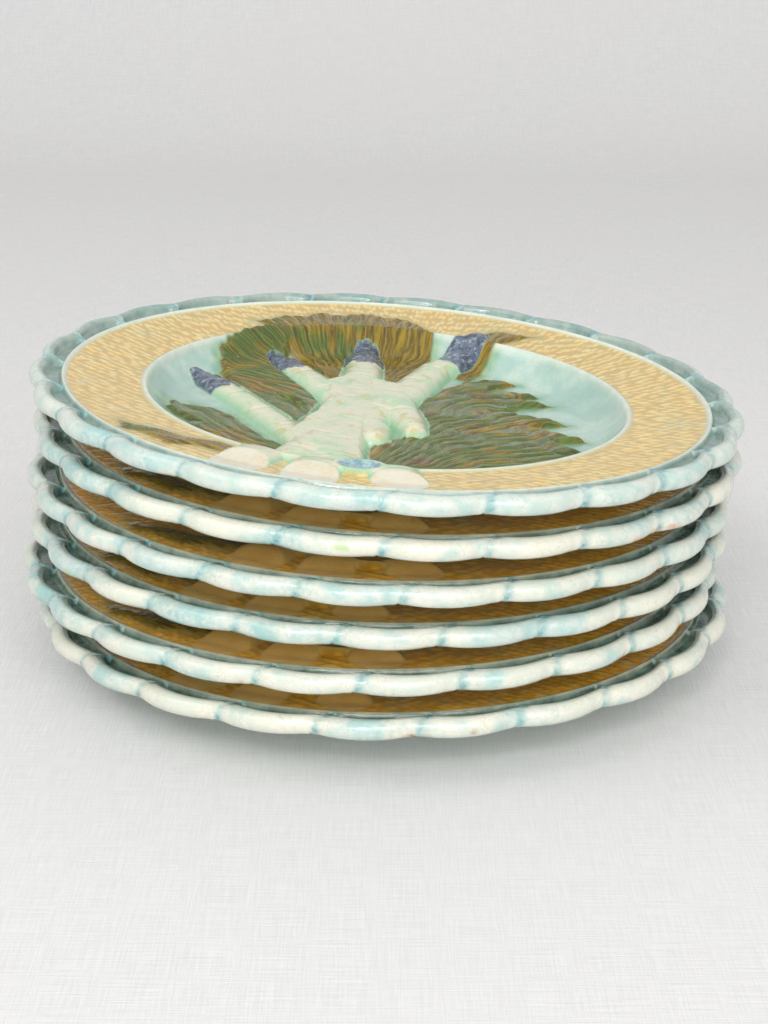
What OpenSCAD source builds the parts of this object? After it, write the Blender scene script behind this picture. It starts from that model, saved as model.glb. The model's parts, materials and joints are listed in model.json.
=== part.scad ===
// Stack of six moulded and glazed earthenware asparagus plates.
// Each plate is one pressed piece: a foot ring, a well with four asparagus spears
// and their leaves in relief, a sloping border and a rim of rounded scallops.
// The origin is the centre of the stack at the table, and the cut ends of the spears face -Y.

/* [Plate] */
// Diameter over the scallops
plate_d = 240; // [232:1:260]
// Width of the scalloped rim outside the border's raised line
rim_w = 13.5; // [12:0.5:16]
// Width of the border between its raised line and the one round the well
border_w = 26.5; // [22:0.5:30]
// Depth of the well below the raised line round it
well_depth = 10.5; // [9:0.5:12]
// Sideways run of the well's wall from top to bottom
wall_run = 7; // [6:0.5:9]
// Radius that joins the well's wall to its floor
well_fillet = 5; // [3:0.5:6]
// Rise of the border from the well to the scallops
border_rise = 3.7; // [2.5:0.1:5]
// Thickness of the fired body
body_t = 4.5; // [4:0.1:5]
// Radius of the two raised lines
line_r = 1.2; // [0.8:0.1:1.6]

/* [Foot] */
// Height of the foot ring
foot_h = 3.5; // [2.5:0.1:4.5]
// Width of the foot ring
foot_w = 6; // [5:0.1:8]
// Bevel on the foot ring's lower edges
foot_bevel = 0.8; // [0.4:0.1:1.5]
// Room that the foot has on each side in the well of the plate below
nest_room = 5; // [4.5:0.1:6]

/* [Scallops] */
// Number of scallops round the rim
scallops = 24; // [20:1:28]
// Thickness of each scallop's rounded roll
roll_d = 6.8; // [6.2:0.1:7.4]
// Height of the rolls above the raised line inside them
roll_up = 0.8; // [0.4:0.1:1.4]
// Radius that each roll bends round
scallop_r = 30; // [26:1:36]
// Depth of the crescent hollow inside each roll
hollow_depth = 2.2; // [1.6:0.1:2.6]
// Land left between a hollow and what is on either side of it
hollow_land = 0.3; // [0.2:0.1:0.6]
// Radius that the outer edge of each hollow bends round
hollow_bend = 17.5; // [16:0.5:20]
// Width of the crease between two rolls
crease_w = 0.5; // [0.3:0.1:1]

/* [Spears] */
// Width of a spear
spear_w = 16; // [14:0.5:18]
// Height of the spears above the well's floor
spear_h = 6.5; // [5.5:0.1:7.5]
// Length of a spear's bud
bud_l = 26; // [18:1:30]
// Width of a bud's point
bud_w = 5; // [3:0.5:8]
// Length of the rounding on a cut end
butt_round = 3; // [2:0.5:4]
// Width of a cut end's face
butt_w = 11; // [8:0.5:14]
// How far the cut ends lie out past the well
butt_out = 17; // [12:1:20]
// Slope at which the spears climb out of the well, in degrees
butt_ramp = 29; // [26:1:32]

/* [Leaves] */
// Height of the leaves above the ground
leaf_h = 2.6; // [1.5:0.1:3]
// Height of the ribs above the leaves
rib_h = 0.8; // [0.4:0.1:1]
// Width of a rib
rib_w = 1.6; // [1:0.1:2.5]
// Spacing of the side ribs along a leaf
rib_gap = 14; // [10:1:20]

/* [Stack] */
// Lean of each plate on the one below, in degrees
lean_step = 0.85; // [0.4:0.05:1.1]
// Direction of the low side, in degrees from +X
lean_heading = -20; // [-40:5:20]
// Clearance between a foot ring and the spears below it
seat_gap = 0.3; // [0.2:0.05:0.6]

/* [Hidden] */
$fn = 96;

plate_r = plate_d / 2;
ridge_r = plate_r - rim_w;
well_r = ridge_r - border_w;
floor_r = well_r - wall_run;
foot_r = floor_r - nest_room;
floor_z = foot_h + body_t;
edge_z = floor_z + well_depth;
wall_h = well_depth - line_r;
ridge_z = edge_z + border_rise;
relief_sink = body_t * 0.4;
border_z = edge_z - line_r;
rim_z = ridge_z - line_r;

// Rolls: each one's centre line is an arc that lies farthest out at crest_r
roll_r = roll_d / 2;
roll_z = ridge_z + roll_up - roll_r;
crest_r = plate_r - roll_r;
bend_r = crest_r - scallop_r;
half_turn = 180 / scallops;
crease_r = crease_w / 2 / sin(half_turn);

// Hollows: crescents between the raised line and the roll
hollow_in = ridge_r + line_r + hollow_land;
hollow_out = crest_r - roll_r - hollow_land;
// Web that carries the rolls, below the hollows
web_r = crest_r - roll_r / 2;
web_z = rim_z - hollow_depth - hollow_land;
// Underside of the border where it meets the rolls, a little above theirs
under_z = rim_z - body_t * 0.85;

// Spears: rounded bars that lie in one leaning plane, sunk a little into the floor
seat_z = floor_z + spear_h;
lip_r = floor_r + spear_h * tan(butt_ramp / 2);
butt_r = well_r + butt_out - butt_round;
// Direction and distance of each bud's point, the distance as a share of the well's radius
bud_az = [155, 124, 96, 70];
bud_shares = [0.91, 0.88, 0.91, 1.06];
// Size of a bud where it begins inside its spear, as a share of the spear's
bud_root_share = 0.95;
// Where the second spear bends, as shares of the well's radius
bend_shares = [-0.08, -0.12];
// Direction of each cut end
butt_az = [-94.5, -85, -102.5, -116.5];

// Leaf outlines and the line of each midrib, as shares of the well's radius
leaf_shares = [
    [[-0.06, 0.3], [-0.3, 0.66], [-0.56, 0.86], [-0.3, 0.98], [0, 1.03], [0.2, 1.0], [0.1, 0.6]],
    [[-0.5, 0.86], [-0.68, 0.74], [-0.72, 0.5], [-0.6, 0.2], [-0.42, -0.1], [-0.3, -0.34], [-0.2, -0.05],
        [-0.25, 0.3], [-0.42, 0.6]],
    [[-0.88, 0], [-0.84, -0.4], [-0.64, -0.76], [-0.38, -0.78], [-0.32, -0.52], [-0.56, -0.22]],
    [[0.18, 0.28], [0.34, 0.5], [0.62, 0.5], [0.5, 0.28], [0.72, 0.1], [0.6, 0], [0.76, -0.14], [0.64, -0.28],
        [0.8, -0.36], [0.7, -0.5], [0.78, -0.62], [0.5, -0.82], [0.2, -0.86], [0.02, -0.78], [0.16, -0.5],
        [0.2, -0.2]]
];
midrib_shares = [
    [[-0.05, 0.4], [-0.1, 0.96]],
    [[-0.28, -0.3], [-0.56, 0.8]],
    [[-0.4, -0.74], [-0.82, -0.1]],
    [[0.12, -0.78], [0.46, 0.46]]
];
// Slope of the side ribs against their midrib, in degrees
rib_slope = [12, 35, 40, 42];
// Leaves that lie over the border: at the back, at the front and beside the last bud
border_leaf_shares = [
    [[-0.56, 0.86], [-0.62, 1.06], [-0.42, 1.12], [-0.2, 1.16], [0, 1.2], [0.14, 1.18], [0.2, 1.0]],
    [[-0.62, -0.9], [-0.68, -0.84], [-0.8, -0.8], [-0.98, -0.76], [-0.9, -0.9], [-0.74, -0.98]],
    [[0.46, 0.92], [0.46, 1.1], [0.6, 1.08], [0.62, 0.86]]
];

// Turn of each plate in the stack, in degrees, from the bottom up
turns = [-9, -0.5, -5, 4.2, 0, 0];
// Sideways place of each plate on the one below, as shares of the room it has there.
// The bottom one is placed so that the leaning stack is centred on the origin.
slip_shares = [[0.5, 0], [-1.6, 0.03], [0.8, 0.5], [-0.05, -0.59], [0.56, 0.23], [-0.41, -0.5]];
slip_room = min(nest_room, wall_run - body_t / 2
    - (edge_z + 2 * seat_gap + well_r * sin(lean_step) - seat_z - foot_h) * wall_run / wall_h);

function polar(r, az) = [r * cos(az), r * sin(az)];

// Height of the glazed ground at a distance from the centre
function ground(r) =
    r < floor_r ? floor_z :
    r < well_r ? floor_z + (r - floor_r) * wall_h / wall_run :
    border_z + (r - well_r) * border_rise / (ridge_r - well_r);

// Points of a raised line that stands on the ground at a distance from the centre
function line_points(r) = [
    [r - line_r, ground(r - line_r)],
    [r - line_r / 2, ground(r) + line_r],
    [r + line_r / 2, ground(r) + line_r]
];

module body_section() {
    foot_in = foot_r - foot_w;
    polygon(concat(
        [
            [0, floor_z],
            [floor_r - well_fillet, floor_z],
            [floor_r + well_fillet / 4, ground(floor_r + well_fillet / 4)]
        ],
        line_points(well_r),
        [[well_r + line_r, ground(well_r + line_r)]],
        line_points(ridge_r),
        [
            [ridge_r + line_r, ridge_z - line_r / 2],
            [ridge_r + line_r, web_z],
            [web_r, web_z],
            [web_r, under_z],
            [ridge_r + line_r, under_z],
            [well_r + body_t / 2, border_z - body_t],
            [floor_r + body_t / 2, foot_h],
            [foot_r, foot_h],
            [foot_r, foot_bevel],
            [foot_r - foot_bevel, 0],
            [foot_in + foot_bevel, 0],
            [foot_in, foot_bevel],
            [foot_in, foot_h],
            [0, foot_h]
        ]
    ));
}

// Section of a scallop: a rounded roll with a flat skirt that joins it to the border
module scallop_section() {
    flat = roll_r * tan(22.5);
    inner = ridge_r - bend_r - 2 * line_r;
    polygon([
        [inner, roll_z - roll_r],
        [scallop_r + flat, roll_z - roll_r],
        [scallop_r + roll_r, roll_z - flat],
        [scallop_r + roll_r, roll_z + flat],
        [scallop_r + flat, roll_z + roll_r],
        [scallop_r - flat, roll_z + roll_r],
        [scallop_r - roll_r, rim_z],
        [inner, rim_z]
    ]);
}

module scallop() {
    difference() {
        intersection() {
            translate([bend_r, 0]) rotate([0, 0, -90])
                rotate_extrude(angle = 180) scallop_section();
            linear_extrude(plate_r) difference() {
                translate([crease_r, 0])
                    polygon([[0, 0], polar(plate_d, -half_turn), polar(plate_d, half_turn)]);
                circle(r = ridge_r);
            }
        }
        translate([0, 0, rim_z - hollow_depth]) linear_extrude(plate_r) difference() {
            translate([hollow_out - hollow_bend, 0]) circle(r = hollow_bend);
            circle(r = hollow_in);
        }
    }
}

// Points of the ground from the centre to the rim, raised by up
function ground_line(up) = [
    [0, floor_z + up],
    [floor_r, floor_z + up],
    [well_r, border_z + up],
    [ridge_r, rim_z + up]
];

// A flat slice of all that lies above the ground, seen along the given direction
module above_ground(az) {
    rotate([90, 0, az]) linear_extrude(2 * spear_w, center = true)
        polygon(concat(ground_line(-relief_sink), [[ridge_r, plate_r], [0, plate_r]]));
}

// A spear's section: an arched top over a foot that reaches down below the ground
module spear_section(foot, share) {
    polygon(share * concat(
        [[-spear_w / 2, -foot], [spear_w / 2, -foot]],
        [for (a = [0 : 30 : 180]) [spear_w / 2 * cos(a), spear_h * sin(a)]]
    ));
}

// A length of spear between two points on the ground, whose ends may be shares of its full size
module bar(from, to, foot, first = 1, last = 1) {
    along = to - from;
    run = norm([along.x, along.y]);
    translate(from) rotate([90 - atan2(along.z, run), 0, atan2(along.y, along.x) + 90])
        linear_extrude(norm(along), scale = last / first) spear_section(foot, first);
}

function at(p, z) = [p.x, p.y, z];

module spear(i) {
    tip = polar(bud_shares[i] * well_r, bud_az[i]);
    lip = polar(lip_r, butt_az[i]);
    climbs = norm(tip) > lip_r;
    inward = (lip - tip) / norm(lip - tip);
    shoulder = climbs ? polar(floor_r, bud_az[i]) : tip + bud_l * inward;
    bend = i == 1 ? well_r * bend_shares : (shoulder + lip) / 2;
    bud_root = shoulder + butt_round * inward;
    point = bud_w / spear_w;
    bar(at(bend, floor_z), at(shoulder, floor_z), relief_sink);
    bar(at(bend, floor_z), at(lip, floor_z), relief_sink);
    if (climbs) intersection() {
        bar(at(bud_root, floor_z), at(tip, ground(norm(tip))), spear_h, bud_root_share, point);
        above_ground(bud_az[i]);
    }
    else bar(at(bud_root, floor_z), at(tip, floor_z), relief_sink, bud_root_share, point);
    butt_z = floor_z + (butt_r - lip_r) * tan(butt_ramp);
    end = polar(butt_r, butt_az[i]);
    round_end = polar(butt_r + butt_round, butt_az[i]);
    intersection() {
        union() {
            bar(at(lip, floor_z), at(end, butt_z), spear_h);
            bar(at(end, butt_z), at(round_end, butt_z + butt_round * tan(butt_ramp)), spear_h,
                1, butt_w / spear_w);
        }
        above_ground(butt_az[i]);
    }
}

module spears() {
    translate([0, 0, seat_z]) lean(0) translate([0, 0, -seat_z])
        for (i = [0 : len(bud_az) - 1]) spear(i);
}

module leaf_plan(i) {
    intersection() {
        polygon(well_r * leaf_shares[i]);
        circle(r = floor_r + body_t / 2);
    }
}

// Midrib and side ribs of a leaf, cut off at its outline
module rib_plan(i) {
    from = well_r * midrib_shares[i][0];
    to = well_r * midrib_shares[i][1];
    reach = norm(to - from);
    intersection() {
        leaf_plan(i);
        translate(from) rotate([0, 0, atan2(to.y - from.y, to.x - from.x)]) {
            translate([0, -rib_w / 2]) square([reach, rib_w]);
            for (s = [rib_gap / 2 : rib_gap : reach], side = [-1, 1])
                translate([s, 0]) rotate([0, 0, side * rib_slope[i]])
                    translate([0, -rib_w / 4]) square([well_r / 2, rib_w / 2]);
        }
    }
}

module leaves() {
    sunk_z = floor_z - relief_sink;
    for (i = [0 : len(leaf_shares) - 1]) {
        translate([0, 0, sunk_z]) linear_extrude(relief_sink + leaf_h) leaf_plan(i);
        translate([0, 0, floor_z]) linear_extrude(leaf_h + rib_h) rib_plan(i);
    }
    for (points = border_leaf_shares)
        translate([0, 0, border_z - relief_sink]) linear_extrude(relief_sink + border_rise / 2 + leaf_h)
            difference() {
                polygon(well_r * points);
                circle(r = well_r + line_r / 2);
            }
}

module plate() {
    color("#cfe0d6") {
        rotate_extrude() body_section();
        for (i = [0 : scallops - 1]) rotate([0, 0, (i + 0.5) * 360 / scallops]) scallop();
    }
    color("#ece8cf") spears();
    color("#7c8438") leaves();
}

// Tips a plate towards the low side of the stack, as seen by the turned plate below it
module lean(turn) {
    rotate([0, 0, lean_heading + turn]) rotate([0, lean_step, 0])
        rotate([0, 0, -lean_heading - turn]) children();
}

module slip(k) translate(slip_room * [slip_shares[k].x, slip_shares[k].y, 0]) children();

// Stands children on the k plates below them
module stand(k) {
    if (k == 0) slip(k) children();
    else stand(k - 1) translate([0, 0, seat_z]) lean(turns[k - 1]) translate([0, 0, seat_gap])
        slip(k) children();
}

module placed_plate(k) stand(k) rotate([0, 0, turns[k]]) plate();

module plate_1() placed_plate(0);
module plate_2() placed_plate(1);
module plate_3() placed_plate(2);
module plate_4() placed_plate(3);
module plate_5() placed_plate(4);
module plate_6() placed_plate(5);

plate_1();
plate_2();
plate_3();
plate_4();
plate_5();
plate_6();
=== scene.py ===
import json
import math

import bpy
import numpy as np
from mathutils import Matrix, Vector

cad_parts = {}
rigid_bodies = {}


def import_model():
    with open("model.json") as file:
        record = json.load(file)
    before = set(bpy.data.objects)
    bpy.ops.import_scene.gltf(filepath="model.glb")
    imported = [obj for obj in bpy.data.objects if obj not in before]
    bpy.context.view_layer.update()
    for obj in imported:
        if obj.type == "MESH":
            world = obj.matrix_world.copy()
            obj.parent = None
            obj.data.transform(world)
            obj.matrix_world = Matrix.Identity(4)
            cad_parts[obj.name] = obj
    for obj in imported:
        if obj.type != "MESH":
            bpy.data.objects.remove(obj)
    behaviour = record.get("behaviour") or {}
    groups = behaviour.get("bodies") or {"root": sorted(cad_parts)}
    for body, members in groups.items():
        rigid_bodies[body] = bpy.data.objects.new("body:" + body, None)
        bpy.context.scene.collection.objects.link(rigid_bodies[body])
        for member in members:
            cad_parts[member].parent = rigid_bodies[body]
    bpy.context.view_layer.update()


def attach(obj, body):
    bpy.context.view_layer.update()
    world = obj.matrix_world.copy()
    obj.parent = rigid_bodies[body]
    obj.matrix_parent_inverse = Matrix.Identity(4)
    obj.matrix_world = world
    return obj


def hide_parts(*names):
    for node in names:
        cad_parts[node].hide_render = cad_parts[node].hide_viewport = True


for spare in list(bpy.data.objects):
    bpy.data.objects.remove(spare)
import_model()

MM = 0.001

# Sizes of a plate in millimetres, as in the part's source
PLATE_R = 120.0
PLATE_D = 2 * PLATE_R
RIDGE_R = 108.6
WELL_R = 81.5
FLOOR_R = 73.0
FOOT_R = 68.0
FOOT_IN = 62.0
FOOT_H = 3.5
FLOOR_Z = 8.0
EDGE_Z = 18.5
BORDER_Z = 17.3
RIM_Z = 20.2
RIDGE_Z = 21.4
BODY_T = 4.5
LINE_R = 1.2
SCALLOPS = 24
ROLL_R = 3.1
ROLL_Z = 19.4
SCALLOP_R = 30.0
BEND_R = 86.6
HOLLOW_OUT = 112.9
SEAT_Z = 14.5
# Where the border's rows of points end and the rim's begin
BORDER_END = RIDGE_R - 1

# How the plates lie on each other
TURNS = [-9, -0.5, -5, 4.2, 0, 0]
SLIPS = [(0.5, 0), (-1.6, 0.03), (0.8, 0.5), (-0.05, -0.59), (0.56, 0.23), (-0.41, -0.5)]
SLIP_ROOM = 3.0288
LEAN_STEP = 0.85
LEAN_HEADING = -20
SEAT_GAP = 0.3


# ---- small numeric helpers
def step(a, b, x):
    t = np.clip((x - a) / (b - a), 0, 1)
    return t * t * (3 - 2 * t)


def smax(a, b, k):
    h = np.clip(0.5 + 0.5 * (a - b) / k, 0, 1)
    return b + (a - b) * h + k * h * (1 - h)


def bump(x, w):
    return np.exp(-((x / w) ** 2))


def lattice(seed):
    return np.random.default_rng(seed).random((256, 256))


def noise(x, y, seed):
    """Smooth value noise from 0 to 1 with a cell of one unit."""
    g = lattice(seed)
    xi, yi = np.floor(x).astype(int), np.floor(y).astype(int)
    fx, fy = x - xi, y - yi
    fx, fy = fx * fx * (3 - 2 * fx), fy * fy * (3 - 2 * fy)
    a, b = g[xi % 256, yi % 256], g[(xi + 1) % 256, yi % 256]
    c, d = g[xi % 256, (yi + 1) % 256], g[(xi + 1) % 256, (yi + 1) % 256]
    return (a * (1 - fx) + b * fx) * (1 - fy) + (c * (1 - fx) + d * fx) * fy


def fbm(x, y, seed, octaves=3):
    total, size = 0, 0
    for o in range(octaves):
        total = total + noise(x * 2**o + 7.3 * o, y * 2**o - 3.1 * o, seed + o) * 0.5**o
        size += 0.5**o
    return total / size


def along(x, y, points):
    """Distance to a line of (x, y, half width), over its width, and millimetres along it."""
    best = np.full(x.shape, 1e9)
    run = np.zeros(x.shape)
    wide = np.ones(x.shape)
    start = 0.0
    for (x0, y0, w0), (x1, y1, w1) in zip(points, points[1:]):
        dx, dy = x1 - x0, y1 - y0
        size = math.hypot(dx, dy)
        t = np.clip(((x - x0) * dx + (y - y0) * dy) / size**2, 0, 1)
        d = np.hypot(x - x0 - t * dx, y - y0 - t * dy)
        w = w0 + t * (w1 - w0)
        hit = d / w < best
        best = np.where(hit, d / w, best)
        run = np.where(hit, start + t * size, run)
        wide = np.where(hit, w, wide)
        start += size
    return best, run, wide


def outline(x, y, points):
    """Signed distance in millimetres, positive inside a closed outline."""
    best = np.full(x.shape, 1e9)
    inside = np.zeros(x.shape, bool)
    for (x0, y0), (x1, y1) in zip(points, points[1:] + points[:1]):
        dx, dy = x1 - x0, y1 - y0
        t = np.clip(((x - x0) * dx + (y - y0) * dy) / (dx * dx + dy * dy), 0, 1)
        best = np.minimum(best, np.hypot(x - x0 - t * dx, y - y0 - t * dy))
        if y0 != y1:
            cross = (y0 > y) != (y1 > y)
            inside ^= cross & (x < x0 + (y - y0) * dx / dy)
    return np.where(inside, best, -best)


# ---- the moulded relief; places in millimetres on a plate, with the cut ends at -y
# Each spear as points of (x, y, half width) from its bud to its cut end; the fifth is the short strand
SPEARS = [
    [(-66, 30, 3.8), (-62, 24, 5.6), (-48, 2, 6.2), (-30, -31, 6.6), (-14, -62, 7.6), (-6, -76, 7)],
    [(-40, 57, 4.2), (-36, 50, 6.2), (-26, 31, 7.2), (-12, 4, 8.4), (-5, -20, 8), (-4, -30, 6)],
    [(-7.5, 72, 4.8), (-8, 64, 7.2), (-8.5, 45, 8), (-11, 0, 9.5), (-16, -50, 9), (-19, -78, 9),
     (-23, -97, 8.8)],
    [(34, 78, 4.6), (28.5, 71, 6.8), (17.5, 54, 7.2), (7, 24, 8.4), (-8, -10, 9), (-26, -50, 9),
     (-38, -76, 9), (-44, -89, 8.8)],
    [(2, 24, 7.4), (5, 2, 7.2), (8, -12, 6.6), (9.5, -21, 5)],
    [(-5, -66, 7), (0.5, -80, 8.4), (3.5, -97, 8.6)],
]
# Length of each spear's bud, and the height of its upper part as a share of the full height
BUD_L = [22, 20, 22, 23, 0, 0]
RISE = [0.72, 0.78, 0.84, 0.88, 0.88, 1]
# Where the spears run together
TRUNK = [(-24, 26), (-17, 35), (-8, 38), (2, 33), (7, 26), (4, 8), (-3, -10), (-5, -30), (-5, -58),
         (2, -74), (-6, -82), (-24, -84), (-40, -80),
         (-38, -64), (-32, -48), (-34, -32), (-27, -12), (-22, 8)]
# The cut ends: where their faces meet the border, and the faces' slope
BUTTS_R = 98
CUT_SLOPE = 0.36
# Round hollow between the cut ends: place and half sizes
HOLE = (-8.5, -87)
HOLE_HALF = (6.8, 4.2)
HOLE_Z = 20.4
# Height of the spears' upper line over the well, its wall and the border
CREST_R = [FLOOR_R - 1, 77, WELL_R, 84, 92, 98]
CREST_Z = [SEAT_Z, 16.5, 18.8, 20.2, 21.3, 22]

# Outlines of the leaves
FAN = [(-6, 20), (-24, 46), (-32, 62), (-44, 72), (-50, 78), (-44, 81), (-40, 87), (-33, 87), (-28, 93),
       (-18, 92), (-10, 96), (0, 94), (8, 93), (14, 86), (18, 80), (14, 60), (4, 36)]
LEFT = [(-36, 74), (-45, 73), (-55, 63), (-61, 50), (-59, 36), (-56, 22), (-46, 6), (-36, -12), (-25, -30),
        (-19, -16), (-20, 0), (-26, 22), (-34, 40), (-36, 58)]
LOW = [(-73, 0), (-62, -6), (-66, 2), (-50, -12), (-40, -30), (-28, -50), (-22, -60), (-34, -67), (-48, -63),
       (-60, -50), (-66, -42), (-61, -36), (-70, -28), (-63, -22), (-75, -12)]
SPRIG = [(-84, -56), (-80, -60), (-70, -61), (-62, -66), (-50, -68), (-41, -75), (-47, -79), (-58, -75),
         (-66, -76), (-74, -69), (-82, -66)]
RIGHT = [(12, 20), (20, 36), (28, 46), (38, 51), (49, 50), (42, 43), (38, 39), (46, 38), (55, 35), (45, 29),
         (60, 26), (48, 19), (42, 12), (56, 8), (64, 4), (50, -3), (60, -8), (68, -14), (56, -18), (66, -26),
         (57, -31), (66, -38), (57, -44), (62, -51), (52, -58), (42, -66), (28, -73), (8, -75), (-6, -70),
         (-8, -44), (-4, -28), (4, -27), (8, -14), (10, 4)]
TUFT = [(24, 54), (30, 66), (33, 80), (42, 86), (48, 83), (56, 80), (48, 76), (41, 71), (36, 62), (30, 50)]


def relief(x, y):
    """Heights and masks of the spears and leaves, for points in millimetres."""
    wx = x + 2.2 * (fbm(x / 6, y / 6, 11) - 0.5)
    wy = y + 2.2 * (fbm(x / 6, y / 6, 21) - 0.5)
    blank = np.zeros(x.shape)
    out = {key: blank.copy() for key in ("high", "leaf", "halo", "rib", "hue", "vein", "reach")}

    def add_leaf(points, phase, reach, lift, depth, tone, ragged=1.4):
        ripple = ragged * np.sin(phase * 0.5)
        d = outline(wx, wy, points) + ripple * 0.45
        ridge = np.abs(np.sin(phase / 2)) ** 0.7 + 0.35 * (fbm(phase * 0.9, reach / 9, 131, 2) - 0.5)
        body = step(-0.4, 2.2, d)
        h = body * (lift + depth * (ridge - 0.5))
        take = (h > out["high"]) | ((d > 0) & (out["leaf"] < 0.5))
        out["high"] = np.where(h > out["high"], h, out["high"])
        for key, value in (("rib", ridge), ("hue", tone), ("vein", phase), ("reach", reach)):
            out[key] = np.where(take, value, out[key])
        out["leaf"] = np.maximum(out["leaf"], step(-0.7, 0.7, d))
        out["halo"] = np.maximum(out["halo"], step(-5.0, 0.0, d))

    bend = 9 * fbm(x / 15, y / 15, 31)
    fan = np.arctan2(wy - 18, wx + 7)
    add_leaf(FAN, fan * 96 + bend, np.hypot(wx + 7, wy - 18), 1.7, 0.9, -0.04, 0.8)
    q = (wx + 40) * 0.62 + (wy - 20) * 0.78 + 0.01 * (wy - 20) ** 2
    add_leaf(LEFT, q * 1.7 + bend, wy - 0.4 * wx, 2.6, 0.6, 0.45, 0.9)
    low = np.arctan2(wy + 68, -(wx + 12))
    add_leaf(LOW, low * 72 + bend, np.hypot(wx + 12, wy + 68), 1.8, 0.6, 0.5)
    add_leaf(SPRIG, (wy + 0.5 * wx) * 2.0 + bend, wx, 1.0, 0.6, 0.05, 0.5)
    add_leaf(TUFT, (wx * 0.8 - wy * 0.5) * 2.0 + bend, wx * 0.5 + wy * 0.8, 1.2, 0.6, 0.1, 0.6)
    right = np.arctan2(wy + 96, wx + 6) + 0.004 * np.hypot(wx, wy + 74)
    add_leaf(RIGHT, right * 112 + 1.6 * bend, np.hypot(wx + 4, wy + 84), 2.0, 0.7, 0.5, 0.9)

    # a swirl like an eye in the left leaf
    u, v = ((x + 32) * 0.8 - (y - 5) * 0.6) / 5.5, ((x + 32) * 0.6 + (y - 5) * 0.8) / 2.6
    eye = np.hypot(u, v)
    out["high"] += (1.0 * bump(eye - 1, 0.35) - 1.2 * bump(eye, 0.7)) * out["leaf"]
    out["rib"] = out["rib"] * (1 - 0.9 * bump(eye, 0.75))

    spear, bud, lump = blank.copy(), blank.copy(), blank.copy()
    for i, points in enumerate(SPEARS):
        d, run, wide = along(x, y, points)
        d = d * (1 + 0.1 * (fbm(x / 6, y / 6, 91 + i) - 0.5))
        h = np.clip(1 - np.abs(d) ** 2.4, 0, 1) ** 0.6
        h = h * (RISE[i] + (1 - RISE[i]) * step(-20, -60, y))
        ring = ((run + 5 * i) % 19) - 9.5 + 3.0 * d**2
        h = h - 0.045 * step(1.6, 0.0, np.abs(ring)) * (run > BUD_L[i]) * step(1.1, 0.4, d)
        if BUD_L[i]:
            scale = np.cos(run * 1.15 + 2.6 * d**2) * np.cos(d * 7)
            h = h * (0.8 + 0.2 * step(0, 12, run)) + 0.03 * scale * (run < BUD_L[i]) * (d < 0.9)
            edge = BUD_L[i] - 4 * np.abs(d) + 5 * (fbm(x / 2.5, y / 2.5, 95) - 0.5)
            bud = np.maximum(bud, step(1.08, 0.96, d) * step(edge + 0.7, edge - 0.7, run))
        lump = smax(lump, h, 0.14)
        spear = np.maximum(spear, step(1.05, 0.95, d))
    trunk = outline(wx, wy, TRUNK)
    lump = smax(lump, 0.84 * step(-0.5, 4.0, trunk), 0.12)
    spear = np.maximum(spear, step(-0.5, 0.5, trunk))
    lump = lump - 0.035
    out["leaf"] = out["leaf"] * (1 - spear)
    out.update(spear=spear, bud=bud, lump=lump)
    return out


def ground(r):
    wall = FLOOR_Z + (r - FLOOR_R) * (EDGE_Z - LINE_R - FLOOR_Z) / (WELL_R - FLOOR_R)
    low = smax(np.full_like(r, FLOOR_Z), wall, 3.0)
    border = BORDER_Z + (r - WELL_R) * (RIM_Z - BORDER_Z) / (RIDGE_R - WELL_R)
    z = np.where(r < WELL_R, np.minimum(low, BORDER_Z + 0.4), border)
    return z + (EDGE_Z - BORDER_Z) * bump(r - WELL_R, 1.1) + (RIDGE_Z - RIM_Z) * bump(r - RIDGE_R, 1.15)


# Direction of the border's strands, in degrees, at directions round the plate
STRAND_AT = [0, 15, 60, 120, 180, 230, 270, 320, 360]
STRAND_TURN = [0, 23, 60, 119, 147, 168, 185, 172, 180]
# Pitch of the strands along x and y, and whether they are those of the plate's far side
STRAND_ROWS = ((5.6, 1.9, False), (1.9, 5.6, True))


def strokes(seed):
    """Cane strands pressed into the border, as (x, y, direction, length, width, lift)."""
    g = np.random.default_rng(seed)
    spots = []
    for wide, tall, back in STRAND_ROWS:
        rows = np.arange(-108, 108, tall)
        for j, row in enumerate(rows):
            xs = np.arange(-108, 108, wide) + (j % 2) * wide / 2
            x = xs + g.normal(0, wide * 0.14, len(xs))
            y = row + g.normal(0, tall * 0.14, len(xs))
            az = np.degrees(np.arctan2(y, x)) % 360
            keep = ((az > 40) & (az < 148)) == back
            spots.append(np.stack([x[keep], y[keep]], -1))
    spots = np.concatenate(spots)
    r = np.hypot(spots[:, 0], spots[:, 1])
    spots = spots[(r > WELL_R + 1.2) & (r < RIDGE_R - 1.2)]
    r, a = np.hypot(spots[:, 0], spots[:, 1]), np.arctan2(spots[:, 1], spots[:, 0])
    az = np.degrees(a) % 360
    count = len(r)
    turn = np.interp(az, STRAND_AT, STRAND_TURN)
    tilt = np.radians(turn + g.normal(0, 7, count))
    length, width, lift = (g.uniform(low, high, count) for low, high in ((3.2, 4.6), (0.7, 0.95), (0.6, 1)))
    return r * np.cos(a), r * np.sin(a), tilt, length, width, lift


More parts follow.
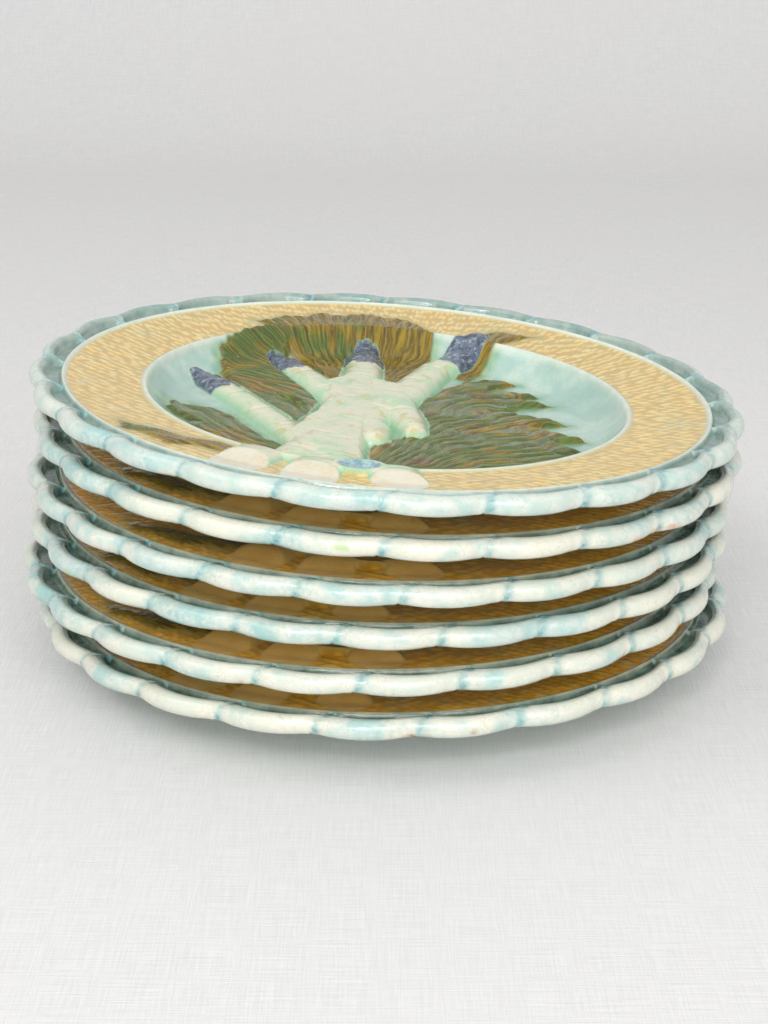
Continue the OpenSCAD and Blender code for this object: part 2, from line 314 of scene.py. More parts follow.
class Hatch:
    """Heights of the strands on a fine square grid over the plate."""

    CELL = 0.3
    HALF = 112

    def __init__(self, seed):
        n = int(2 * self.HALF / self.CELL)
        self.grid = np.zeros((n, n))
        for x, y, a, length, w, lift in zip(*strokes(seed)):
            i0, j0 = (int((v + self.HALF - length) / self.CELL) for v in (x, y))
            k = int(2 * length / self.CELL) + 1
            i, j = np.arange(i0, i0 + k), np.arange(j0, j0 + k)
            gx = (i * self.CELL - self.HALF - x)[:, None]
            gy = (j * self.CELL - self.HALF - y)[None, :]
            u, v = gx * math.cos(a) + gy * math.sin(a), gy * math.cos(a) - gx * math.sin(a)
            v = v + 0.05 * u * u
            h = lift * bump(v, w) * np.clip(1 - (u / length * 1.4) ** 2, 0, 1)
            spot = self.grid[i0 : i0 + k, j0 : j0 + k]
            np.maximum(spot, h, out=spot)

    def at(self, x, y):
        u, v = (x + self.HALF) / self.CELL, (y + self.HALF) / self.CELL
        last = self.grid.shape[0] - 2
        i, j = np.clip(u.astype(int), 0, last), np.clip(v.astype(int), 0, last)
        fu, fv = np.clip(u - i, 0, 1), np.clip(v - j, 0, 1)
        g = self.grid
        near = g[i, j] * (1 - fu) + g[i + 1, j] * fu
        far = g[i, j + 1] * (1 - fu) + g[i + 1, j + 1] * fu
        return near * (1 - fv) + far * fv


hatch = Hatch(5)

SPACING = 2 * math.pi / SCALLOPS
SLANT = math.radians(1.15)
# Mean radius at which the distance from a crease is measured
CREASE_R = 115.5


def scallop(theta, skew):
    """Place across a scallop: angle from its middle, and millimetres from its left and right creases."""
    t = (theta - SLANT * skew) % SPACING
    psi = t - SPACING / 2
    return psi, t * CREASE_R, (SPACING - t) * CREASE_R


def crest(psi):
    return BEND_R * np.cos(psi) + np.sqrt(SCALLOP_R**2 - (BEND_R * np.sin(psi)) ** 2)


def roll_radius(left, right):
    taper = 0.45 * np.exp(-left / 3.5) + 0.3 * np.exp(-right / 3.0)
    return ROLL_R - taper - 0.22 * bump(left, 0.6) - 0.2 * bump(right, 0.7)


def lip_line(psi, left, right):
    return crest(psi) + 1.1 * bump(np.minimum(left, right), 1.8)


def inner_edge(psi, left, right):
    return crest(psi) - 2.3 - 2.2 * bump(left, 1.8) - 1.8 * bump(right, 1.3)


def rim_top(r, theta):
    """Height of the rim's upper side from the raised line to the rolls' crest, and its masks."""
    skew = np.interp(r, [RIDGE_R, PLATE_R], [1, -0.6])
    psi, left, right = scallop(theta, skew)
    top = lip_line(psi, left, right)
    rho = roll_radius(left, right)
    inner = inner_edge(psi, left, right)
    reach = np.maximum(top - inner, 1)
    k = np.clip((top - r) / reach, 0, 1)
    roll = ROLL_Z + 0.2 * (1 - k) + rho * (1 - k**2.7) ** (1 / 2.7)
    lens = np.clip((inner - RIDGE_R - 1.4) / (HOLLOW_OUT - RIDGE_R - 1.4), 0, 1)
    floor = RIM_Z + 0.6 - 3.0 * lens**0.5
    line = RIM_Z - 1.5 + (RIDGE_Z - RIM_Z + 1.5) * bump(r - RIDGE_R, 1.0)
    line = np.where(r < RIDGE_R, -99, line)
    z = smax(smax(floor, roll, 0.7), line, 0.5)
    pool = step(0, 0.28, lens) * step(top + 0.6, top - 0.7, r) * step(RIDGE_R, RIDGE_R + 0.7, r)
    pool = pool * (1 - 0.35 * step(RIDGE_R + 2.5, inner + 1, r))
    crease = np.maximum(bump(left - 0.8, 1.5), 0.6 * bump(right, 0.8)) * step(118, 113, r)
    return z, pool, crease


def plate_points(n, rings):
    """Rings of points from the middle of the well over the rim to the middle of the underside."""
    theta = np.arange(n) * 2 * np.pi / n
    rows = []

    def row(r, z, kind, pool=None, crease=None):
        r = np.broadcast_to(np.asarray(r, float), theta.shape)
        z = np.broadcast_to(np.asarray(z, float), theta.shape)
        pool, crease = (np.zeros(n) if mask is None else mask for mask in (pool, crease))
        rows.append((r * np.cos(theta), r * np.sin(theta), z, np.full(n, kind), pool, crease))

    for r in np.linspace(rings["start"], BORDER_END, rings["border"]):
        row(r, 0, 0)
    lip = lip_line(*scallop(theta, -0.4))
    for t in np.linspace(0, 1, rings["top"])[1:]:
        r = BORDER_END + (lip - BORDER_END) * t
        z, pool, crease = rim_top(r, theta)
        z = np.where(r < RIDGE_R, ground(r), z)
        row(r, z, 1, pool=pool, crease=crease)
    for a in np.linspace(90, -100, rings["side"])[1:]:
        a = math.radians(a)
        skew = np.interp(math.degrees(a), [-90, 90], [-1.5, -0.6])
        psi, left, right = scallop(theta, skew)
        lip = lip_line(psi, left, right)
        rho = roll_radius(left, right)
        c, s = math.cos(a), math.sin(a)
        c, s = math.copysign(abs(c) ** 0.93, c), math.copysign(abs(s) ** 0.93, s)
        mark = bump(left - 0.8, 1.5) * (0.5 + 0.5 * bump(s + 0.3, 0.4))
        row(lip + rho * c, ROLL_Z + rho * s, 1, crease=np.maximum(mark, 0.35 * bump(right, 0.7)))
    under = [
        (109.5, RIM_Z - BODY_T + 0.2), (104, 16.4), (98, 15.6), (90, 14.4),
        (WELL_R + 4, 13.1), (WELL_R + 1, 12.2), (WELL_R - 2, 9.0), (FLOOR_R + 2.4, 5.0), (FLOOR_R + 0.6, 3.9),
        (FOOT_R + 0.6, FOOT_H), (FOOT_R, FOOT_H - 0.4), (FOOT_R, 0.9), (FOOT_R - 0.25, 0.35),
        (FOOT_R - 0.8, 0.02), (FOOT_IN + 0.8, 0.02), (FOOT_IN + 0.25, 0.35), (FOOT_IN, 0.9),
        (FOOT_IN, FOOT_H - 0.4), (FOOT_IN - 0.6, FOOT_H),
        (45, FOOT_H), (30, FOOT_H), (15, FOOT_H), (4, FOOT_H),
    ]
    for r, z in under:
        row(r, z, 2)
    return [np.stack(v) for v in zip(*rows)]


def disk_points(n, radius):
    """A square grid of quads bent into a disk, whose edge points are spread evenly."""
    k = n // 4
    g = np.linspace(-1, 1, k + 1)
    a, b = np.meshgrid(g, g, indexing="ij")
    wide = np.abs(a) >= np.abs(b)
    r = np.where(wide, a, b)
    across, up = np.where(a == 0, 1, a), np.where(b == 0, 1, b)
    t = np.where(wide, math.pi / 4 * b / across, math.pi / 2 - math.pi / 4 * a / up)
    return r * np.cos(t) * radius, r * np.sin(t) * radius


# Radius at which the grid meets the rings, and the counts of rings over each part of a plate
FINE = {"start": 78.0, "border": 46, "top": 30, "side": 16}
COARSE = {"start": 78.0, "border": 22, "top": 18, "side": 12}
# How much painted shade the border and the hollows get, and how cream the rim is, from the bottom plate up;
# the lower five lie in the shade of the plates above
SHADE_AND_CREAM = [(1, 0.5, 1), (1, 0.4, 1), (1, 0.45, 1), (1, 0.35, 1), (1, 0.5, 1), (0, 0.12, 0)]
# Distance between the plates in the glaze's pattern, so that no two are alike
PATTERN_SHIFT = 1.37


def relief_side(x, y):
    """Heights of the well, border and relief, and their masks, for points in millimetres."""
    form = relief(x, y)
    spear, leaf, lump = form["spear"], form["leaf"], form["lump"]
    r = np.hypot(x, y)
    flat = ground(r)
    cane = hatch.at(x, y) * step(WELL_R + 1.0, WELL_R + 2.2, r)
    cane = cane * step(RIDGE_R - 0.9, RIDGE_R - 2.0, r)
    covered = np.clip(np.maximum(spear, leaf), 0, 1)
    body = flat + lump * (np.interp(r, CREST_R, CREST_Z) - flat)
    # the cut ends are flat faces that slope down to the border
    front = (y < -70) & (lump > 0.02)
    cut_z = flat + CUT_SLOPE * np.clip(BUTTS_R - r, 0, 99)
    hole = np.hypot((x - HOLE[0]) / HOLE_HALF[0], (y - HOLE[1]) / HOLE_HALF[1])
    butt = front * step(-0.1, 0.4, body - cut_z) * spear * step(1.15, 1.4, hole)
    body = np.where(front, np.minimum(body, cut_z), body)
    # leaves lie on the ground evened out across the raised line
    even = sum(ground(r + d) - (EDGE_Z - BORDER_Z) * bump(r + d - WELL_R, 1.1) for d in (-3, -1, 1, 3)) / 4
    leaf_z = np.maximum(flat, even) * 0.4 + even * 0.6
    leaf_z = leaf_z + form["high"] * np.interp(r, [WELL_R - 3, WELL_R + 4], [1.0, 0.75])
    leaf_z = np.where(leaf > 0, leaf_z, flat)
    z = np.maximum(np.maximum(flat + 0.5 * cane * (1 - covered), leaf_z), body)
    # the round hollow lies in a disc of its own
    disc = step(1.45, 1.15, hole)
    disc_z = HOLE_Z + 0.4 * bump(hole - 1.05, 0.2) - 1.2 * step(1.0, 0.2, hole)
    z = z * (1 - disc) + disc_z * disc
    form.update(spear=np.maximum(spear, disc), cane=cane, covered=covered, butt=butt)
    form.update(lens=step(1.05, 0.9, hole), border=step(WELL_R, WELL_R + 1.5, r))
    return np.maximum(z, flat - 0.6), form


def faces(n, ids, ring, centre):
    """Quads of the grid and of the rings, and the triangles round the underside's middle."""
    after = np.roll(np.arange(n), -1)
    grid = np.stack([ids[:-1, :-1], ids[1:, :-1], ids[1:, 1:], ids[:-1, 1:]], -1).reshape(-1, 4)
    bands = np.stack([ring[:-1], ring[1:], ring[1:][:, after], ring[:-1][:, after]], -1).reshape(-1, 4)
    fan = np.stack([ring[-1], np.full(n, centre), ring[-1][after]], -1)
    return np.concatenate([grid, bands]), fan


def new_mesh(name, points, quads, fan):
    mesh = bpy.data.meshes.new(name)
    mesh.vertices.add(len(points))
    mesh.vertices.foreach_set("co", (points * MM).astype(np.float32).ravel())
    loops = np.concatenate([quads.ravel(), fan.ravel()])
    mesh.loops.add(len(loops))
    mesh.loops.foreach_set("vertex_index", loops.astype(np.int32))
    mesh.polygons.add(len(quads) + len(fan))
    starts = np.concatenate([np.arange(len(quads)) * 4, len(quads) * 4 + np.arange(len(fan)) * 3])
    mesh.polygons.foreach_set("loop_start", starts.astype(np.int32))
    mesh.update(calc_edges=True)
    mesh.validate()
    mesh.polygons.foreach_set("use_smooth", np.ones(len(mesh.polygons), bool))
    return mesh


def plate_mesh(name, plate, n, rings, matrix):
    """One plate as a closed mesh in the stack's place, with the masks that its glaze needs."""
    k = n // 4
    gx, gy = disk_points(n, rings["start"])
    X, Y, Z, kind, pool, crease = plate_points(n, rings)
    rows = X.shape[0]
    # the grid's edge takes the place of the first ring
    ids = np.arange((k + 1) ** 2).reshape(k + 1, k + 1)
    sides = [ids[k, k // 2 :], ids[k - 1 : 0 : -1, k], ids[0, k:0:-1], ids[0:k, 0], ids[k, 0 : k // 2]]
    base = (k + 1) ** 2
    ring = np.empty((rows, n), int)
    ring[0] = np.concatenate(sides)
    ring[1:] = base + np.arange((rows - 1) * n).reshape(rows - 1, n)
    centre = base + (rows - 1) * n

    def joined(grid, band, middle):
        return np.concatenate([grid, band[1:].ravel(), [middle]])

    blank = np.zeros(base)
    x, y, z = joined(gx.ravel(), X, 0.0), joined(gy.ravel(), Y, 0.0), joined(blank, Z, FOOT_H)
    kinds, pools, creases = joined(blank, kind, 2), joined(blank, pool, 0), joined(blank, crease, 0)
    r = np.hypot(x, y)
    top = kinds == 0
    z[top], form = relief_side(x[top], y[top])

    points = np.stack([x, y, z, np.ones_like(x)], -1) @ np.array(matrix).T
    mesh = new_mesh(name, points[:, :3], *faces(n, ids, ring, centre))

    def attribute(label, *channels):
        a = mesh.color_attributes.new(name=label, type="FLOAT_COLOR", domain="POINT")
        data = np.ones((len(x), 4), np.float32)
        for c, v in enumerate(channels):
            data[:, c] = v
        a.data.foreach_set("color", data.ravel())

    def spread(*keys):
        out = np.zeros((len(keys), len(x)))
        for row, key in zip(out, keys):
            row[top] = form[key]
        return out

    under = (kinds == 2).astype(float)
    rim = (kinds == 1).astype(float) * step(RIDGE_R - 0.8, RIDGE_R, r)
    line = bump(r - WELL_R, 1.2) + bump(r - RIDGE_R + 0.5, 0.9) * (kinds < 2)
    border, vein, reach, lump = spread("border", "vein", "reach", "lump")
    attribute("parts", *spread("spear", "leaf", "bud"), under)
    attribute("glaze", border * (1 - rim), pools, creases, rim)
    attribute("form", *spread("rib", "hue", "cane", "halo"))
    attribute("cuts", *spread("butt", "lens", "covered"), line)
    attribute("vein", vein / 10, reach / 100, lump, 1)
    attribute("place", x / PLATE_D + 0.5, y / PLATE_D + 0.5, z / PLATE_D + PATTERN_SHIFT * plate, 1)
    # painted shade for the lower plates' border and hollows, and the rim's cream tone
    attribute("own", *SHADE_AND_CREAM[plate], 1)
    attribute("stains", *stain(x, y, z, plate), 1)
    return mesh


# Chips and stains: plate, direction in degrees, distance, height, size in mm, and brown, green or pink
STAINS = [
    (0, -77, 118.5, 17.2, 2.6, 0), (0, -74.5, 118.6, 17.0, 1.8, 0), (0, -68, 118.2, 19.0, 2.0, 0),
    (5, 84, 118.5, 20.5, 3.2, 0), (5, 79, 118.4, 20.8, 2.2, 0), (4, -96.5, 119.3, 20.0, 2.6, 1),
    (4, -51, 118.4, 17.4, 3.4, 2), (4, -47, 118.4, 17.2, 4.0, 2), (4, -43, 117.5, 17.6, 3.2, 2),
    (3, -14, 118, 17.5, 2.8, 2), (1, -108, 119, 17.2, 2.4, 2), (2, -140, 118, 18.4, 2.2, 1),
    (4, -118, 97, 18.6, 1.3, 0), (4, -86, 94, 20.6, 1.2, 0), (2, 40, 118.4, 18.0, 2.6, 0),
    (1, 150, 118, 19, 2.4, 2),
]


def stain(x, y, z, plate):
    """Masks of the chips and stains on one plate."""
    masks = [np.zeros(x.shape) for _ in range(3)]
    for k, heading, r, high, size, kind in STAINS:
        if k == plate:
            heading = math.radians(heading)
            px, py = r * math.cos(heading), r * math.sin(heading)
            d = np.sqrt((x - px) ** 2 + (y - py) ** 2 + ((z - high) * 1.6) ** 2) / size
            ragged = 0.7 * (fbm(x / 1.5, y / 1.5 + z, 201) - 0.5)
            masks[kind] = np.maximum(masks[kind], step(1.15, 0.5, d + ragged))
    return masks


# ---- where each plate lies, as in the part's source
def spin(degrees, axis):
    return np.array(Matrix.Rotation(math.radians(degrees), 4, axis))


def shift(x, y, z):
    return np.array(Matrix.Translation((x, y, z)))


def lean(turn):
    return spin(LEAN_HEADING + turn, "Z") @ spin(LEAN_STEP, "Y") @ spin(-LEAN_HEADING - turn, "Z")


def slip(k):
    return shift(SLIP_ROOM * SLIPS[k][0], SLIP_ROOM * SLIPS[k][1], 0)


places = []
stand = slip(0)
for k in range(6):
    if k:
        stand = stand @ shift(0, 0, SEAT_Z) @ lean(TURNS[k - 1]) @ shift(0, 0, SEAT_GAP) @ slip(k)
    places.append(stand @ spin(TURNS[k], "Z"))


# ---- node material helpers
def srgb(text):
    parts = [int(text[i : i + 2], 16) / 255 for i in (1, 3, 5)]
    return tuple(c / 12.92 if c <= 0.04045 else ((c + 0.055) / 1.055) ** 2.4 for c in parts) + (1,)


class Nodes:
    """Short names for the shader nodes used below."""

    def __init__(self, name):
        self.material = bpy.data.materials.new(name)
        self.material.use_nodes = True
        self.tree = self.material.node_tree
        self.tree.nodes.clear()

    def new(self, kind, **values):
        node = self.tree.nodes.new(kind)
        for key, value in values.items():
            setattr(node, key, value)
        return node

    def put(self, socket, value):
        if isinstance(value, bpy.types.NodeSocket):
            self.tree.links.new(value, socket)
        elif value is not None:
            socket.default_value = value

    def attribute(self, label):
        node = self.new("ShaderNodeAttribute", attribute_name=label)
        split = self.new("ShaderNodeSeparateColor")
        self.put(split.inputs[0], node.outputs["Color"])
        return split.outputs[0], split.outputs[1], split.outputs[2], node.outputs["Alpha"]

    def math(self, operation, a, b=None, clamp=False):
        node = self.new("ShaderNodeMath", operation=operation, use_clamp=clamp)
        self.put(node.inputs[0], a)
        self.put(node.inputs[1], b)
        return node.outputs[0]

    def add(self, a, b):
        return self.math("ADD", a, b)

    def mul(self, a, b, clamp=False):
        return self.math("MULTIPLY", a, b, clamp)

    def ramp(self, value, a, b, low=0.0, high=1.0):
        node = self.new("ShaderNodeMapRange", interpolation_type="SMOOTHSTEP")
        for i, v in enumerate((value, a, b, low, high)):
            self.put(node.inputs[i], v)
        return node.outputs[0]

    def mix(self, share, a, b, blend="MIX"):
        node = self.new("ShaderNodeMix", data_type="RGBA", blend_type=blend)
        self.put(node.inputs[0], share)
        self.put(node.inputs[6], srgb(a) if isinstance(a, str) else a)
        self.put(node.inputs[7], srgb(b) if isinstance(b, str) else b)
        return node.outputs[2]

    def noise(self, vector, scale, detail=3.0, rough=0.55, warp=0.0):
        node = self.new("ShaderNodeTexNoise")
        self.put(node.inputs["Vector"], vector)
        self.put(node.inputs["Scale"], scale)
        self.put(node.inputs["Detail"], detail)
        self.put(node.inputs["Roughness"], rough)
        self.put(node.inputs["Distortion"], warp)
        return node.outputs[0]

    def cells(self, vector, scale, feature="F1", spread=1.0):
        node = self.new("ShaderNodeTexVoronoi", feature=feature)
        self.put(node.inputs["Vector"], vector)
        self.put(node.inputs["Scale"], scale)
        if feature != "N_SPHERE_RADIUS":
            self.put(node.inputs["Randomness"], spread)
        return node.outputs["Distance"]

    def scaled(self, vector, x, y, z):
        node = self.new("ShaderNodeVectorMath", operation="MULTIPLY")
        self.put(node.inputs[0], vector)
        node.inputs[1].default_value = (x, y, z)
        return node.outputs[0]

    def bump(self, height, strength, distance, normal=None):
        node = self.new("ShaderNodeBump")
        node.inputs["Strength"].default_value = strength
        node.inputs["Distance"].default_value = distance
        self.put(node.inputs["Height"], height)
        self.put(node.inputs["Normal"], normal)
        return node.outputs[0]


def glaze_material():
    """Painted earthenware under a clear, slightly crazed glaze."""
    n = Nodes("glaze")
    spear, leaf, bud, under = n.attribute("parts")
    border, pool, crease, rim = n.attribute("glaze")
    rib, hue, cane, halo = n.attribute("form")
    butt, lens, covered, line = n.attribute("cuts")
    vein, reach, lump, _ = n.attribute("vein")
    # painted shade on the lower plates' border, spears and hollows, and the rim's cream tone
    gap_shade, warm, hollow_shade, _ = n.attribute("own")
    place = n.new("ShaderNodeAttribute", attribute_name="place").outputs["Vector"]
    mm = n.scaled(place, PLATE_D, PLATE_D, PLATE_D)

    soft = n.noise(mm, 0.045, 2)
    mottle = n.noise(mm, 0.16, 4, 0.6)
    fine = n.noise(mm, 0.6, 4, 0.6)
    grit = n.noise(mm, 2.6, 3, 0.6)

    # ground of the well
    well = n.mix(n.ramp(mottle, 0.35, 0.65), "#a6c5bb", "#bbcfc3")
    well = n.mix(n.ramp(soft, 0.42, 0.62), well, "#9dbcb2")
    well = n.mix(n.mul(n.ramp(fine, 0.6, 0.75), 0.5), well, "#d0d5c2")
    well = n.mix(n.mul(halo, 0.75), well, n.mix(n.ramp(mottle, 0.35, 0.6), "#5f9a78", "#8fae7a"))

    # border: yellow strands, darker ochre lower down between them
    twine = n.add(cane, n.mul(n.add(fine, -0.5), 0.5))
    low = n.mix(n.ramp(mottle, 0.35, 0.65), "#cba75c", "#bfa965")
    top = n.mix(n.ramp(mottle, 0.35, 0.7), "#e3c680", "#e6d096")
    strands = n.mix(n.ramp(twine, 0.1, 0.7), low, top)
    # painted shade: a deeper orange copy of the strands for the lower plates, which lie in the shade of the
    # plates above
    shaded_low = n.mix(n.ramp(mottle, 0.35, 0.65), "#dc9614", "#cb9822")
    shaded_top = n.mix(n.ramp(mottle, 0.35, 0.7), "#fdb52c", "#f2bd4c")
    strands = n.mix(gap_shade, strands, n.mix(n.ramp(twine, 0.1, 0.7), shaded_low, shaded_top))
    strands = n.mix(n.mul(halo, n.ramp(fine, 0.35, 0.6, 0.2, 0.8)), strands, "#a39a55")
    runs = n.ramp(n.add(soft, n.mul(n.add(fine, -0.5), 0.8)), 0.62, 0.75)
    strands = n.mix(n.mul(runs, 0.4), strands, "#a9bba4")

    # rim: pale aqua and cream, blue where the glaze pooled
    face = n.mix(n.ramp(mottle, 0.35, 0.6), "#a9c5bf", "#c4cfc8")
    face = n.mix(n.mul(n.ramp(n.add(soft, n.mul(n.add(fine, -0.5), 0.5)), 0.5, 0.64), 0.8), face, "#94bcb9")
    cream = n.ramp(n.add(n.noise(mm, 0.03, 2), n.mul(mottle, 0.3)), 0.52, 0.72)
    face = n.mix(n.mul(n.add(warm, 0.1), cream), face, "#ebe0cb")
    blue = n.mix(n.ramp(mottle, 0.35, 0.65), "#3d8b98", "#72b0b0")
    clear = n.mix(n.ramp(mottle, 0.35, 0.65), "#65847f", "#869d94")
    # painted shade: a darker copy of the pooled glaze for the lower plates' hollows
    pool_in_shade = n.mix(n.ramp(mottle, 0.35, 0.65), "#2b483e", "#52736a")
    edge = n.mix(n.mul(crease, n.ramp(fine, 0.35, 0.6, 0.6, 1.0)), face, blue)
    edge = n.mix(pool, edge, n.mix(hollow_shade, clear, pool_in_shade))

    # spears: cream with green and ochre blotches, greener at their edges
    flesh = n.mix(n.ramp(mottle, 0.4, 0.6), "#d6d2b9", "#ccd3b6")
    flesh = n.mix(n.mul(n.ramp(n.noise(mm, 0.1, 3, 0.55, 0.6), 0.5, 0.64), 0.75), flesh, "#a9d0aa")
    flesh = n.mix(n.mul(n.ramp(n.noise(mm, 0.17, 3, 0.5, 0.4), 0.58, 0.68), 0.7), flesh, "#c4b676")
    flesh = n.mix(n.mul(n.ramp(lump, 0.2, 0.75, 1.0, 0.0), 0.8), flesh, "#8fc4a0")
    flesh = n.mix(n.mul(n.ramp(fine, 0.58, 0.72), 0.35), flesh, "#a9a878")
    tip = n.mix(n.ramp(n.noise(mm, 0.3, 4, 0.7, 0.8), 0.4, 0.6), "#363f52", "#5c6b80")
    tip = n.mix(n.mul(n.ramp(fine, 0.52, 0.66), 0.8), tip, "#94a2af")
    flesh = n.mix(bud, flesh, tip)
    cream_cut = n.mix(n.ramp(mottle, 0.35, 0.65), "#dad5c3", "#d6ccb2")
    flesh = n.mix(butt, flesh, cream_cut)
    # painted shade: the spear ends on the lower plates' border take an amber copy of their colour for the
    # shade between the plates
    shaded_flesh = n.mix(n.ramp(mottle, 0.35, 0.65), "#e8ad3c", "#f2bf5c")
    flesh = n.mix(n.mul(n.mul(gap_shade, border), 0.85), flesh, shaded_flesh)

    # leaves: streaked along their veins in green, olive, yellow and purple-brown
    veins = n.new("ShaderNodeCombineXYZ")
    n.put(veins.inputs[0], n.mul(vein, 7.0))
    n.put(veins.inputs[1], n.mul(reach, 9.0))
    streak = n.noise(veins.outputs[0], 1.0, 4, 0.6)
    broad = n.noise(veins.outputs[0], 0.22, 3, 0.6)
    green = n.mix(n.ramp(streak, 0.36, 0.64), "#384b15", "#60732b")
    olive = n.mix(n.ramp(streak, 0.36, 0.64), "#57450a", "#957c18")
    purple = n.mix(n.ramp(streak, 0.36, 0.64), "#4f3a1e", "#7c6236")
    tone = n.add(hue, n.add(n.mul(n.add(broad, -0.5), 1.6), n.mul(n.add(soft, -0.5), 2.4)))
    foliage = n.mix(n.ramp(tone, 0.2, 0.5), olive, green)
    foliage = n.mix(n.ramp(tone, 0.74, 1.1), foliage, purple)
    foliage = n.mix(n.ramp(rib, 0.0, 0.7, 0.6, 0.0), foliage, "#39330f")
    foliage = n.mix(n.mul(n.ramp(fine, 0.6, 0.75), 0.4), foliage, "#b3a860")

    colour = n.mix(border, well, strands)
    pale = n.mix(n.ramp(mottle, 0.35, 0.65), "#c9d6c8", "#dadfce")
    colour = n.mix(rim, colour, edge)
    colour = n.mix(leaf, colour, foliage)
    # painted shade: on the lower plates the pale raised lines turn olive for the shade between the plates
    pale = n.mix(n.mul(gap_shade, 0.9), pale, n.mix(n.ramp(mottle, 0.35, 0.65), "#66714c", "#94905e"))
    colour = n.mix(n.mul(line, n.math("SUBTRACT", 1.0, covered)), colour, pale)
    colour = n.mix(spear, colour, flesh)
    glass = n.mix(n.ramp(fine, 0.35, 0.65), "#6f94a0", "#a3bcc0")
    # the hollow between the cut ends takes blue-grey glass on the top plate only; on the lower plates it is
    # painted shade in a dull brown
    colour = n.mix(n.mul(lens, n.math("SUBTRACT", 1.0, gap_shade)), colour, glass)
    colour = n.mix(n.mul(n.mul(lens, gap_shade), 0.7), colour, "#7a6238")
    base = n.mix(n.ramp(mottle, 0.4, 0.65), "#d5e0d6", "#c0d6d1")
    colour = n.mix(under, colour, base)
    # pits and specks of bare clay, and fine dirt in the crazing
    chip, moss, blush, _ = n.attribute("stains")
    colour = n.mix(n.mul(blush, n.ramp(fine, 0.4, 0.6, 0.25, 0.9)), colour, "#d79a72")
    colour = n.mix(n.mul(moss, 0.75), colour, "#a9c88a")
    colour = n.mix(chip, colour, n.mix(n.ramp(fine, 0.4, 0.6), "#8a5a34", "#b9834f"))
    cracks = n.cells(mm, 0.32, "DISTANCE_TO_EDGE")
    lines = n.mul(n.ramp(cracks, 0.0, 0.035, 1.0, 0.0), n.ramp(mottle, 0.4, 0.6, 0.0, 0.25))
    colour = n.mix(lines, colour, "#8a7a58")
    pits = n.mul(n.ramp(n.cells(mm, 0.5), 0.05, 0.09, 1.0, 0.0), n.ramp(fine, 0.52, 0.58))
    colour = n.mix(n.mul(pits, 0.8), colour, "#6b4a2c")
    colour = n.mix(n.ramp(grit, 0.3, 0.7, 0.0, 0.1), colour, "#8d8768")

    shader = n.new("ShaderNodeBsdfPrincipled")
    n.put(shader.inputs["Base Color"], colour)
    rough = n.add(n.ramp(mottle, 0.3, 0.7, 0.12, 0.24), n.mul(n.math("MAXIMUM", pits, chip), 0.5))
    n.put(shader.inputs["Roughness"], rough)
    shader.inputs["Coat Weight"].default_value = 0.12
    shader.inputs["Coat Roughness"].default_value = 0.06
    waves = n.bump(mottle, 0.25, 0.0012)
    waves = n.bump(fine, 0.12, 0.0005, waves)
    waves = n.bump(n.math("SUBTRACT", 1.0, pits), 0.4, 0.0003, waves)
    n.put(shader.inputs["Normal"], waves)
    out = n.new("ShaderNodeOutputMaterial")
    n.put(out.inputs["Surface"], shader.outputs[0])
    return n.material


def cloth_material():
    """Pale linen laid under and behind the plates."""
    n = Nodes("linen")
    place = n.new("ShaderNodeTexCoord").outputs["Object"]
    warp = n.noise(n.scaled(place, 1900, 60, 60), 1.0, 2)
    weft = n.noise(n.scaled(place, 60, 1900, 1900), 1.0, 2)
    weave = n.add(warp, weft)
    broad = n.noise(place, 3.5, 3)
    colour = n.mix(n.ramp(weave, 0.7, 1.3), "#d6d5d4", "#e2e1e0")
    colour = n.mix(n.ramp(broad, 0.35, 0.65, 0.0, 0.35), colour, "#dbdad8")
    shader = n.new("ShaderNodeBsdfPrincipled")
    n.put(shader.inputs["Base Color"], colour)
    shader.inputs["Roughness"].default_value = 0.9
    shader.inputs["Specular IOR Level"].default_value = 0.2
    n.put(shader.inputs["Normal"], n.bump(weave, 0.35, 0.0006))
    out = n.new("ShaderNodeOutputMaterial")
    n.put(out.inputs["Surface"], shader.outputs[0])
    return n.material


# ---- the six plates
glaze = glaze_material()
for k, placing in enumerate(places):
    top = k == len(places) - 1
    segments = 1440 if top else 960
    body = f"plate_{k + 1}"
    mesh = plate_mesh(f"glazed_{body}", k, segments, FINE if top else COARSE, placing)
    mesh.materials.append(glaze)
    plate = bpy.data.objects.new(f"glazed_{body}", mesh)
    bpy.context.scene.collection.objects.link(plate)
    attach(plate, body)
    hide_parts(body)


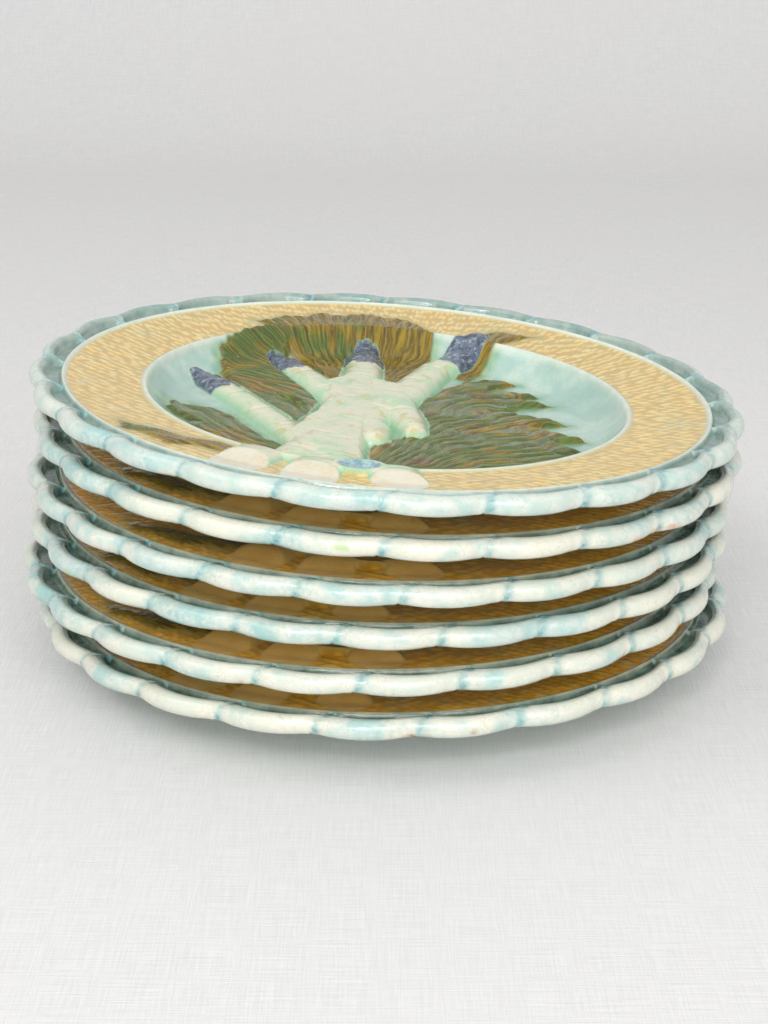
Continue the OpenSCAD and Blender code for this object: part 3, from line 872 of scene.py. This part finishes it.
# ---- table cloth, light and camera
def cloth():
    ys = [-5.0, -2.4, -0.8, 0.0, 0.6, 1.1]
    rows = [(y, 0.0) for y in ys]
    for a in np.linspace(0, 90, 13)[1:]:
        rows.append((1.1 + 0.6 * math.sin(math.radians(a)), 0.6 - 0.6 * math.cos(math.radians(a))))
    rows.append((1.7, 2.4))
    verts, faces = [], []
    for y, z in rows:
        verts += [(-5.0, y, z), (5.0, y, z)]
    for i in range(len(rows) - 1):
        faces.append((2 * i, 2 * i + 1, 2 * i + 3, 2 * i + 2))
    mesh = bpy.data.meshes.new("linen_cloth")
    mesh.from_pydata(verts, [], faces)
    mesh.polygons.foreach_set("use_smooth", [True] * len(faces))
    mesh.materials.append(cloth_material())
    obj = bpy.data.objects.new("linen_cloth", mesh)
    bpy.context.scene.collection.objects.link(obj)


cloth()


def area(name, place, target, size, power):
    light = bpy.data.lights.new(name, "AREA")
    light.shape = "RECTANGLE"
    light.size, light.size_y = size
    light.energy = power
    obj = bpy.data.objects.new(name, light)
    obj.location = place
    obj.rotation_euler = (Vector(target) - Vector(place)).to_track_quat("-Z", "Y").to_euler()
    bpy.context.scene.collection.objects.link(obj)


# Name, place, point aimed at, size and power of each light
for light in (
    ("window", (-1.1, -0.5, 1.3), (0, 0, 0.05), (1.2, 0.9), 5.5),
    ("sky", (0.1, 0.3, 1.9), (0, 0, 0), (2.0, 1.8), 2),
    ("front", (0.3, -2.2, 1.4), (0, 0, 0.03), (2.1, 1.3), 42),
    ("pane", (-0.35, -1.3, 0.95), (0, 0, 0.06), (0.3, 0.16), 3),
    ("low_front", (0.3, -1.6, 0.3), (0, 0, 0.05), (1.6, 0.5), 3),
):
    area(*light)

world = bpy.data.worlds.new("studio")
bpy.context.scene.world = world
world.use_nodes = True
world.node_tree.nodes["Background"].inputs[0].default_value = (0.98, 0.985, 1.0, 1)
world.node_tree.nodes["Background"].inputs[1].default_value = 0.66

FOCAL_PIXELS, PICTURE_HEIGHT = 1858, 1024
CAMERA_PLACE = (0.00156, -0.6121, 0.2541)
PITCH, ROLL = 18.65, 0.19

camera = bpy.data.cameras.new("camera")
camera.sensor_fit = "VERTICAL"
camera.sensor_height = 36
camera.lens = FOCAL_PIXELS / PICTURE_HEIGHT * camera.sensor_height
camera.clip_start = 0.01
eye = bpy.data.objects.new("camera", camera)
bpy.context.scene.collection.objects.link(eye)
eye.matrix_world = (
    Matrix.Translation(CAMERA_PLACE)
    @ Matrix.Rotation(math.radians(90 - PITCH), 4, "X")
    @ Matrix.Rotation(math.radians(ROLL), 4, "Z")
)
bpy.context.scene.camera = eye
bpy.context.scene.view_settings.view_transform = "Standard"
